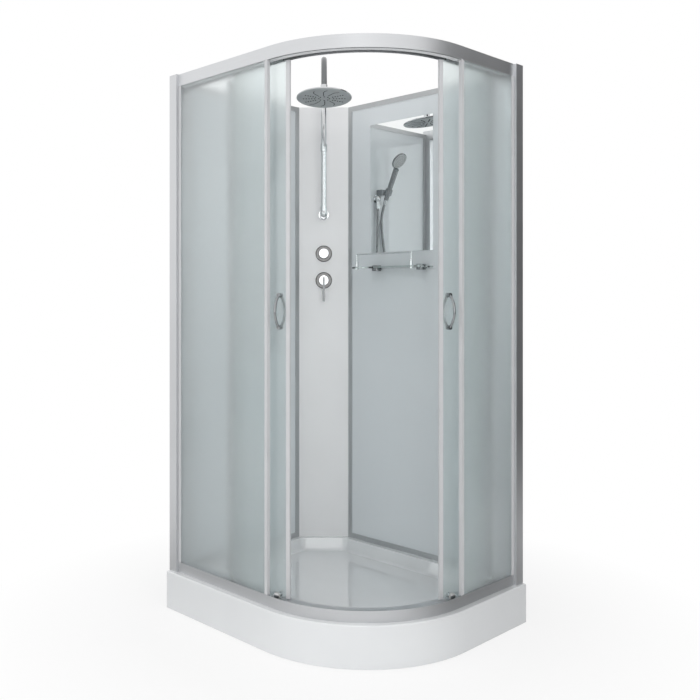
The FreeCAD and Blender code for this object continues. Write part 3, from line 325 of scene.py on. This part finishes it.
def make_mirror():
    f = Finish("silvered_mirror")
    veil = f.noise(9, 3)
    colour = f.blend(veil, tone(243, 246, 246), tone(247, 249, 249))
    return f.surface(Base_Color=colour, Metallic=1.0, Roughness=0.004 + veil * 0.012)


def make_brass():
    f = Finish("raw_brass")
    drift = f.noise(40, 4)
    colour = f.blend(drift, tone(176, 148, 92), tone(206, 182, 122))
    return f.surface(Base_Color=colour, Metallic=1.0, Roughness=0.3 + drift * 0.2)


def make_zinc():
    f = Finish("zinc_coat")
    crystals = f.node("ShaderNodeTexVoronoi", None, {"Vector": f.place(), "Scale": 90.0}, output="Color")
    shade = f.node("ShaderNodeSeparateColor", None, {"Color": crystals})
    colour = f.blend(shade, tone(150, 154, 157), tone(190, 193, 195))
    return f.surface(Base_Color=colour, Metallic=1.0, Roughness=0.32 + shade * 0.2)


chrome = make_chrome("bright_chrome", (206, 208, 210), (222, 224, 225), 0.03)
# darker copies of the bright chrome for handles, lever, hand shower and valve rings: painted shade
shaded_handle_chrome = make_chrome("shaded_handle_chrome", (150, 153, 155), (168, 170, 172), 0.05)
shaded_grey_chrome = make_chrome("shaded_grey_chrome", (122, 125, 127), (136, 138, 140), 0.26)
shaded_hand_shower_chrome = make_chrome("shaded_hand_shower_chrome", (142, 145, 147), (158, 160, 162), 0.18)
shaded_valve_chrome = make_chrome("shaded_valve_chrome", (88, 88, 88), (110, 110, 110), 0.08)
arm_chrome = make_arm_chrome()
mirror_silver = make_mirror()
brass = make_brass()
zinc = make_zinc()
print(chrome.name, shaded_handle_chrome.name, shaded_hand_shower_chrome.name, shaded_grey_chrome.name, shaded_valve_chrome.name, arm_chrome.name)
print(mirror_silver.name, brass.name, zinc.name)

# %% [markdown]
# ## Plastics
# Seals are milky strips, wheels are nylon, the waste is pale pipe plastic, and the spray plates are grey with dark
# rubber nozzles; the hand shower's plate is a paler copy, painted light. One recipe serves them all: two near colours
# mixed by a noise, a roughness that follows it, and a fine bump for the moulded skin.

# %% Plastics
def make_plastic(name, first, second, roughness):
    f = Finish(name)
    cloud = f.noise(18, 3)
    grain = f.noise(1400, 1)
    colour = f.blend(cloud, tone(*first), tone(*second))
    skin = 0.00003
    return f.surface(Base_Color=colour, Roughness=roughness + cloud * 0.1, IOR=1.46, Normal=f.bump(grain, skin))


seal_plastic = make_plastic("milky_seal", (190, 191, 193), (202, 203, 205), 0.3)
nylon = make_plastic("grey_nylon", (172, 173, 172), (186, 187, 185), 0.4)
waste_plastic = make_plastic("pale_waste_plastic", (206, 207, 208), (218, 219, 220), 0.45)
spray_plastic = make_plastic("spray_plate", (166, 171, 173), (178, 183, 185), 0.3)
# a paler copy of the spray plate for the hand shower's face, which lies in shade: painted light
lit_hand_plastic = make_plastic("hand_spray_plate_painted_light", (214, 217, 218), (224, 226, 227), 0.3)
nozzle_rubber = make_plastic("nozzle_rubber", (40, 42, 44), (56, 58, 60), 0.55)
print(seal_plastic.name, nylon.name, waste_plastic.name, spray_plastic.name, lit_hand_plastic.name, nozzle_rubber.name)

# %% [markdown]
# ## Dressing the solids
# Every solid keeps its shape and gets the finish of its material. A table of names by finish keeps this short.

# %% Finishes on the solids
dress = {
    acrylic: ["tray"],
    zinc: ["tray_frame", "levelling_feet"],
    waste_plastic: ["drain_trap"],
    rail_metal: ["upper_rail"],
    shaded_sill_metal: ["lower_rail"],
    post_metal: ["left_wall_profile", "right_wall_profile"],
    shaded_frame_metal: ["left_back_frame", "right_back_frame"],
    lit_pane_glass: ["left_fixed_glass", "right_fixed_glass"],
    shaded_door_glass: ["left_door_glass", "right_door_glass"],
    back_glass: ["left_back_glass", "right_back_glass"],
    clear_glass: ["shelf_plate"],
    column_panel: ["corner_column"],
    mirror_silver: ["mirror"],
    brass: ["valve_body", "feed_pipes"],
    seal_plastic: ["fixed_edge_strips", "glazing_beads", "left_door_magnet_strip", "right_door_magnet_strip",
                   "left_door_rear_seal", "right_door_rear_seal"],
    nylon: [name for name in nodes if "_wheel_" in name],
    chrome: ["left_door_roller_bolts", "right_door_roller_bolts", "drain_cover", "shelf_guard_rail", "diverter_knob",
             "mixer_hub", "riser_elbow", "riser_pipe", "riser_union", "rain_swivel_nut", "rain_head",
             "hand_outlet", "hose_outlet_nut", "hose_handset_nut"],
    shaded_handle_chrome: ["left_door_handles", "right_door_handles"],
    arm_chrome: ["rain_arm"],
    shaded_grey_chrome: ["mixer_lever", "shelf_brackets"],
    shaded_hand_shower_chrome: ["handset_body", "handset_holder"],
    shaded_valve_chrome: ["valve_rosettes"],
    spray_plastic: ["rain_face"],
    lit_hand_plastic: ["handset_face"],
}
for finish, names in dress.items():
    for name in names:
        for material_slot in nodes[name].material_slots:
            material_slot.material = finish
print("dressed", sum(len(names) for names in dress.values()), "solids")

# %% [markdown]
# ## Growing small pieces with Geometry Nodes
# Ribs and nozzles repeat by the hundred, so a node tree places them and a few named inputs size them. `Grower` builds
# a tree line by line. `grow` runs it once on an empty mesh, copies the result into a plain mesh and drops the tree.

# %% Geometry Nodes helpers
class Grower:
    """A Geometry Nodes tree that is filled line by line."""

    def __init__(self, name):
        self.tree = bpy.data.node_groups.new(name, "GeometryNodeTree")
        self.tree.interface.new_socket("Geometry", in_out="OUTPUT", socket_type="NodeSocketGeometry")
        self.entry = self.tree.nodes.new("NodeGroupInput")
        self.names = {}

    def asks(self, name, kind):
        socket = self.tree.interface.new_socket(name, in_out="INPUT", socket_type="NodeSocket" + kind)
        self.names[name] = socket.identifier
        return self.entry.outputs[name]

    def node(self, kind, settings=None, inputs=None, output=0):
        made = self.tree.nodes.new("GeometryNode" + kind if not kind.startswith("Shader") else kind)
        for key, value in (settings or {}).items():
            setattr(made, key, value)
        for key, value in (inputs or {}).items():
            if isinstance(value, bpy.types.NodeSocket):
                self.tree.links.new(value, made.inputs[key])
            else:
                made.inputs[key].default_value = value
        return made.outputs[output]

    def math(self, operation, a, b):
        return self.node("ShaderNodeMath", {"operation": operation}, {0: a, 1: b})

    def ends_with(self, geometry, material):
        whole = self.node("RealizeInstances", None, {0: geometry})
        dressed = self.node("SetMaterial", None, {"Geometry": whole, "Material": material})
        exit_node = self.tree.nodes.new("NodeGroupOutput")
        self.tree.links.new(dressed, exit_node.inputs[0])


def grow(name, grower, values):
    """Runs a tree with its inputs set and returns the result as an object with a plain mesh."""
    piece = bpy.data.objects.new(name, bpy.data.meshes.new(name))
    scene.collection.objects.link(piece)
    modifier = piece.modifiers.new(name, "NODES")
    modifier.node_group = grower.tree
    for key, value in values.items():
        modifier[grower.names[key]] = value
    graph = bpy.context.evaluated_depsgraph_get()
    grown = bpy.data.meshes.new_from_object(piece.evaluated_get(graph), depsgraph=graph)
    piece.modifiers.remove(modifier)
    piece.data = grown
    for polygon in grown.polygons:
        polygon.use_smooth = True
    return piece


print("grower ready")

# %% [markdown]
# ## The shower hose
# A shower hose is a plastic tube in a wound metal strip, so it shows a fine rib every few millimetres and hangs in a
# long loose loop. A straight chain of points would kink at each one, so we draw a NURBS line over a few route points,
# which gives the loop its slack, and read the finished curve back as the hose's middle line.

# %% Hose line
hose_route = [
    (-0.517, 0.050, 1.6997), (-0.517, 0.050, 1.600), (-0.516, 0.059, 1.460), (-0.515, 0.082, 1.310),
    (-0.514, 0.103, 1.190), (-0.514, 0.106, 1.072), (-0.514, 0.058, 1.024), (-0.514, -0.010, 1.024),
    (-0.514, -0.058, 1.072), (-0.514, -0.055, 1.190), (-0.515, -0.036, 1.310), (-0.517, -0.008, 1.440),
    (-0.520, 0.014, 1.565), (-0.52118708, 0.022, 1.66910357), (-0.4971779, 0.022, 1.72252644),
]
hose_diameter = 0.014
line_data = bpy.data.curves.new("hose_line", "CURVE")
line_data.dimensions = "3D"
line_data.resolution_u = 24
spline = line_data.splines.new("NURBS")
spline.points.add(len(hose_route) - 1)
for point, place in zip(spline.points, hose_route):
    point.co = (*place, 1.0)
spline.order_u = 3
spline.use_endpoint_u = True
hose_line = bpy.data.objects.new("hose_line", line_data)
scene.collection.objects.link(hose_line)
graph = bpy.context.evaluated_depsgraph_get()
line_mesh = bpy.data.meshes.new_from_object(hose_line.evaluated_get(graph), depsgraph=graph)
hose_path = [vertex.co.copy() for vertex in line_mesh.vertices]
runs = [(b - a).length for a, b in zip(hose_path, hose_path[1:])]
hose_length = sum(runs)
print("hose line points", len(hose_path), "length", round(hose_length, 4))

# %% [markdown]
# The ribs could be a bump, but they show in the outline, so they are real. The tree spaces stations evenly on the line,
# swells and narrows the radius in step, and sweeps a circle along it.

# %% Hose ribs
def hose_tree():
    g = Grower("ribbed_hose")
    line = g.asks("Line", "Object")
    ribs = g.asks("Ribs", "Int")
    crest = g.asks("Crest radius", "Float")
    valley = g.asks("Valley radius", "Float")
    material = g.asks("Material", "Material")
    steps_per_rib = 4
    drawn = g.node("ObjectInfo", {"transform_space": "ORIGINAL"}, {"Object": line}, output="Geometry")
    stations = g.math("ADD", g.math("MULTIPLY", ribs, steps_per_rib), 1)
    even = g.node("ResampleCurve", {"mode": "COUNT"}, {"Curve": drawn, "Count": stations})
    wave = g.math("PINGPONG", g.node("InputIndex"), steps_per_rib / 2)
    swell = g.math("DIVIDE", wave, steps_per_rib / 2)
    radius = g.math("ADD", valley, g.math("MULTIPLY", swell, g.math("SUBTRACT", crest, valley)))
    ring = g.node("CurvePrimitiveCircle", None, {"Resolution": 18, "Radius": 1.0})
    tube_inputs = {"Curve": even, "Profile Curve": ring, "Fill Caps": True, "Scale": radius}
    g.ends_with(g.node("CurveToMesh", None, tube_inputs), material)
    return g


hose_ribs = 440
hose_valley = 0.0062
hose = grow("hose", hose_tree(), {"Line": hose_line, "Ribs": hose_ribs, "Crest radius": hose_diameter / 2,
                                  "Valley radius": hose_valley, "Material": shaded_hand_shower_chrome})
bpy.data.objects.remove(hose_line)
print("hose faces", len(hose.data.polygons))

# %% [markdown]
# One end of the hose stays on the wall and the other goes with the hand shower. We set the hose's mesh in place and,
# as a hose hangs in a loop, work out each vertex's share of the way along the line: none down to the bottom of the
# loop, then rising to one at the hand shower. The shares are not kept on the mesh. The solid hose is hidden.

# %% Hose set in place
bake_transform(hose)
tree_of_points = KDTree(len(hose_path))
for index, place in enumerate(hose_path):
    tree_of_points.insert(place, index)
tree_of_points.balance()
travelled = [0.0]
for run in runs:
    travelled.append(travelled[-1] + run)
loop_bottom = min(range(len(hose_path)), key=lambda i: hose_path[i].z)
for vertex in hose.data.vertices:
    index = tree_of_points.find(vertex.co)[1]
    share = (travelled[index] - travelled[loop_bottom]) / (hose_length - travelled[loop_bottom])
    share = min(max(share, 0.0), 1.0)
    share * share * (3 - 2 * share)
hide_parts("shower_hose")

# %% [markdown]
# ## Spray faces
# Both shower heads end in a grey plate with soft rubber nozzles that can be rubbed clean. Each nozzle is a short cone,
# set on a list of places, and each slot is a round strip along a drawn line. We draw a plate flat, with its middle at
# the origin and Z out of its face, and then set the mesh in place with one matrix.

# %% Nozzle rows
def nozzle_tree():
    """Nozzles on a list of places, and a round strip along each drawn slot."""
    g = Grower("spray_face")
    places = g.asks("Places", "Object")
    slots = g.asks("Slots", "Object")
    foot = g.asks("Foot radius", "Float")
    tip = g.asks("Tip radius", "Float")
    height = g.asks("Height", "Float")
    strip = g.asks("Strip radius", "Float")
    material = g.asks("Material", "Material")
    cone = g.node("MeshCone", None, {"Vertices": 16, "Radius Top": tip, "Radius Bottom": foot, "Depth": height})
    spots = g.node("ObjectInfo", None, {"Object": places}, output="Geometry")
    nozzles = g.node("InstanceOnPoints", None, {"Points": spots, "Instance": cone})
    drawn = g.node("ObjectInfo", None, {"Object": slots}, output="Geometry")
    ring = g.node("CurvePrimitiveCircle", None, {"Resolution": 12, "Radius": strip})
    strips = g.node("CurveToMesh", None, {"Curve": drawn, "Profile Curve": ring, "Fill Caps": True})
    joined = g.tree.nodes.new("GeometryNodeJoinGeometry")
    g.tree.links.new(strips, joined.inputs[0])
    g.tree.links.new(nozzles, joined.inputs[0])
    g.ends_with(joined.outputs[0], material)
    return g


def polar(radius, degrees):
    return Vector((radius * math.cos(math.radians(degrees)), radius * math.sin(math.radians(degrees)), 0))


def spots_object(name, places):
    mesh = bpy.data.meshes.new(name)
    mesh.from_pydata(places, [], [])
    spots = bpy.data.objects.new(name, mesh)
    scene.collection.objects.link(spots)
    return spots


def slots_object(name, routes, sink):
    data = bpy.data.curves.new(name, "CURVE")
    data.dimensions = "3D"
    for route in routes:
        drawn = data.splines.new("NURBS")
        drawn.points.add(len(route) - 1)
        for point, place in zip(drawn.points, route):
            point.co = (place.x, place.y, -sink, 1.0)
        drawn.order_u = 3
        drawn.use_endpoint_u = True
    slots = bpy.data.objects.new(name, data)
    scene.collection.objects.link(slots)
    return slots


def set_face(piece, middle, out, right):
    """Sets a plate drawn flat at the origin onto its head: Z goes out of the face and X to the right."""
    z_axis = Vector(out).normalized()
    x_axis = (Vector(right) - z_axis * Vector(right).dot(z_axis)).normalized()
    turn = Matrix((x_axis, z_axis.cross(x_axis), z_axis)).transposed().to_4x4()
    piece.data.transform(Matrix.Translation(middle) @ turn)


face_tree = nozzle_tree()
print("spray face tree", len(face_tree.tree.nodes), "nodes")

# %% [markdown]
# The rain head's plate looks down, leaning a little to the front. It has three rows of nozzles at each side, a ring of
# them round the middle, and three curved slots to the front and to the back.

# %% Rain head's face
rain_out = Vector((0.0862, -0.0862, -0.9925))
rain_ball = Vector((-0.183083, 0.083083, 2.127112))
ball_to_face = 0.046
rain_middle = rain_ball + rain_out * ball_to_face
row_angles = [side + fan for side in (0, 180) for fan in (-27, 0, 27)]
row_radii = [0.040 + 0.0115 * i for i in range(5)]
rain_places = [polar(radius, angle) for angle in row_angles for radius in row_radii]
ring_radius, ring_count = 0.022, 8
rain_places += [polar(ring_radius, 360 * i / ring_count) for i in range(ring_count)]
slot_shape = [(0.034, 5), (0.050, 3), (0.066, 3), (0.082, 0), (0.092, -8)]
slot_angles = [side + fan for side in (90, 270) for fan in (-34, 0, 34)]
slot_routes = [[polar(radius, angle + lean) for radius, lean in slot_shape] for angle in slot_angles]
rain_spots = spots_object("rain_spots", rain_places)
slot_sink = 0.0018
rain_slots = slots_object("rain_slots", slot_routes, slot_sink)
rain_nozzles = grow("rain_nozzles", face_tree, {
    "Places": rain_spots, "Slots": rain_slots, "Foot radius": 0.0032, "Tip radius": 0.0023, "Height": 0.0016,
    "Strip radius": 0.0026, "Material": nozzle_rubber})
set_face(rain_nozzles, rain_middle, rain_out, (1, 1, 0))
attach(rain_nozzles, "rain_shower")
print("rain nozzles", len(rain_places), "slots", len(slot_routes))

# %% [markdown]
# The hand shower's plate is small and round. Four rings of fine nozzles fill it, and a thin line runs round them, which
# the same tree draws as one strip that comes back to its start.

# %% Hand shower's face
hand_out = Vector((0.7837, 0, -0.6211))
hand_middle = Vector((-0.396773, 0.022, 1.929084))
hand_rings = [(0.007, 6), (0.014, 12), (0.021, 18), (0.028, 24)]
hand_places = [polar(radius, 360 * i / count) for radius, count in hand_rings for i in range(count)]
hand_spots = spots_object("hand_spots", hand_places)
line_radius, line_sink = 0.034, 0.0006
line_route = [polar(line_radius, 30 * i) for i in range(13)]
hand_slots = slots_object("hand_slots", [line_route], line_sink)
hand_nozzles = grow("hand_nozzles", face_tree, {
    "Places": hand_spots, "Slots": hand_slots, "Foot radius": 0.0016, "Tip radius": 0.0011, "Height": 0.0014,
    "Strip radius": 0.0009, "Material": nozzle_rubber})
set_face(hand_nozzles, hand_middle, hand_out, (0, 1, 0))
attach(hand_nozzles, "hand_shower")
for helper in (rain_spots, rain_slots, hand_spots, hand_slots):
    bpy.data.objects.remove(helper)
print("hand nozzles", len(hand_places))

# %% [markdown]
# ## Studio
# The cabin stands on a white floor in a white room. The world is white where the camera, a reflection or the glass
# looks at it, and dimmer for plain diffuse light, so that pale surfaces keep their shading. The floor takes the shadow
# near the cabin and turns to pure white further out, so that no edge shows.

# %% World and floor
world = bpy.data.worlds.new("white_room")
scene.world = world
room = Finish("white_room", world)
ray_kinds = ("Is Camera Ray", "Is Glossy Ray", "Is Transmission Ray")
camera_ray, glossy_ray, glass_ray = [room.node("ShaderNodeLightPath", output=kind) for kind in ray_kinds]
seen = camera_ray.larger(glossy_ray).larger(glass_ray)
room_light = 0.48
strength = seen * (1 - room_light) + room_light
background = room.node("ShaderNodeBackground", None, {"Color": (1, 1, 1, 1), "Strength": strength})
room.show(background, "ShaderNodeOutputWorld")


def make_floor():
    f = Finish("white_floor")
    to_camera, to_gloss, to_glass = [f.node("ShaderNodeLightPath", output=kind) for kind in ray_kinds]
    gloss_share = 0.35
    looked_at = to_camera.larger(to_gloss * gloss_share).larger(to_glass)
    coords = f.node("ShaderNodeTexCoord", output="Object")
    reach = f.node("ShaderNodeVectorMath", {"operation": "LENGTH"}, {0: coords}, output="Value")
    shadow_start, shadow_end = 0.75, 1.5
    far = f.ramp(reach, shadow_start, shadow_end)
    grain = f.noise(60, 2)
    colour = f.blend(grain, tone(238, 238, 238), tone(243, 243, 243))
    lit = f.node("ShaderNodeBsdfDiffuse", None, {"Color": colour})
    glow = f.node("ShaderNodeEmission", None, {"Color": (1, 1, 1, 1), "Strength": 1.0})
    near_glow = 0.78
    white = looked_at * (far * (1 - near_glow) + near_glow)
    f.show(f.node("ShaderNodeMixShader", None, {0: white, 1: lit, 2: glow}))
    return f.owner


def sheet_of(name, corners, material):
    mesh = bpy.data.meshes.new(name)
    mesh.from_pydata(corners, [], [tuple(range(len(corners)))])
    mesh.materials.append(material)
    thing = bpy.data.objects.new(name, mesh)
    scene.collection.objects.link(thing)
    return thing


def square(x, y, z, half):
    return [(x - half, y - half, z), (x + half, y - half, z), (x + half, y + half, z), (x - half, y + half, z)]


floor_half = 14.0
sheet_of("floor", square(0, 0, 0, floor_half), make_floor())
print("floor laid")

# %% [markdown]
# In a white room metal turns white all over. A photographer sets up dark cards to give it shade, and so do we: one card
# stands on the right and two mats lie on the floor. Only reflections see them, so they darken the rails and posts but
# leave the floor white. The mats fade out towards their rims, because the gloss of the tray would show an edge.

# %% Card and mats
felt_dark = tone(50, 51, 53)
felt_light = tone(60, 61, 63)


def make_card():
    f = Finish("dark_card")
    felt = f.noise(40, 2)
    return f.surface(Base_Color=f.blend(felt, felt_dark, felt_light), Roughness=0.9 + felt * 0.05)


def make_mat(middle, radius, depth):
    """Dark felt that fades out towards its rim, so that no edge of it shows in the gloss of the tray."""
    f = Finish("dark_mat")
    coords = f.node("ShaderNodeTexCoord", output="Object")
    reach = f.node("ShaderNodeVectorMath", {"operation": "DISTANCE"}, {0: coords, 1: middle}, output="Value")
    felt = f.blend(f.noise(40, 2), felt_dark, felt_light)
    cloth = f.node("ShaderNodeBsdfDiffuse", None, {"Color": felt})
    clear = f.node("ShaderNodeBsdfTransparent")
    full_shade_at = radius * 0.3
    shade = f.ramp(reach, radius, full_shade_at) * depth
    f.show(f.node("ShaderNodeMixShader", None, {0: shade, 1: clear, 2: cloth}))
    return f.owner


def only_in_reflections(thing):
    thing.visible_camera = False
    thing.visible_transmission = False
    thing.visible_diffuse = False
    thing.visible_shadow = False


def lay_mat(name, x, y, radius, depth):
    over_floor = 0.002
    felt_mat = make_mat((x, y, over_floor), radius, depth)
    only_in_reflections(sheet_of(name, square(x, y, over_floor, radius), felt_mat))


card_height = 3.2
card_corners = [(2.9, 0.7, 0.0), (1.1, 2.5, 0.0), (1.1, 2.5, card_height), (2.9, 0.7, card_height)]
only_in_reflections(sheet_of("dark_card", card_corners, make_card()))
lay_mat("left_mat", -0.75, -0.95, 0.95, 0.5)
lay_mat("right_mat", 1.2, 0.55, 1.0, 0.8)

# %% [markdown]
# Five soft boxes light the form, and the key light is on the left, where the photograph is brightest. The large ones are
# kept out of reflections, where they would burn out the rails. One narrow lamp near the camera is left in, for the
# glints on the chrome. Standard view keeps every colour as it was written.

# %% Lamps
def soft_box(name, place, target, size, watts, mirrored=False):
    lamp = bpy.data.lights.new(name, "AREA")
    lamp.shape = "RECTANGLE"
    lamp.size, lamp.size_y = size
    lamp.energy = watts
    thing = bpy.data.objects.new(name, lamp)
    thing.location = place
    thing.rotation_euler = (Vector(target) - Vector(place)).to_track_quat("-Z", "Y").to_euler()
    thing.visible_glossy = mirrored
    scene.collection.objects.link(thing)


soft_box("key_left", (-1.6, -3.4, 2.4), (0, 0, 1.0), (3.0, 3.0), 46)
soft_box("top", (0.0, 0.0, 4.2), (0, 0, 0), (1.6, 1.6), 20)
soft_box("front", (2.9, -3.0, 1.5), (0, 0, 1.3), (4.2, 3.6), 54)
soft_box("glint", (2.6, -2.9, 1.6), (0, 0, 1.3), (0.8, 2.2), 8, mirrored=True)
soft_box("fill_right", (3.2, -0.7, 2.6), (0.4, 0.2, 1.8), (1.8, 1.8), 22)
scene.view_settings.view_transform = "Standard"
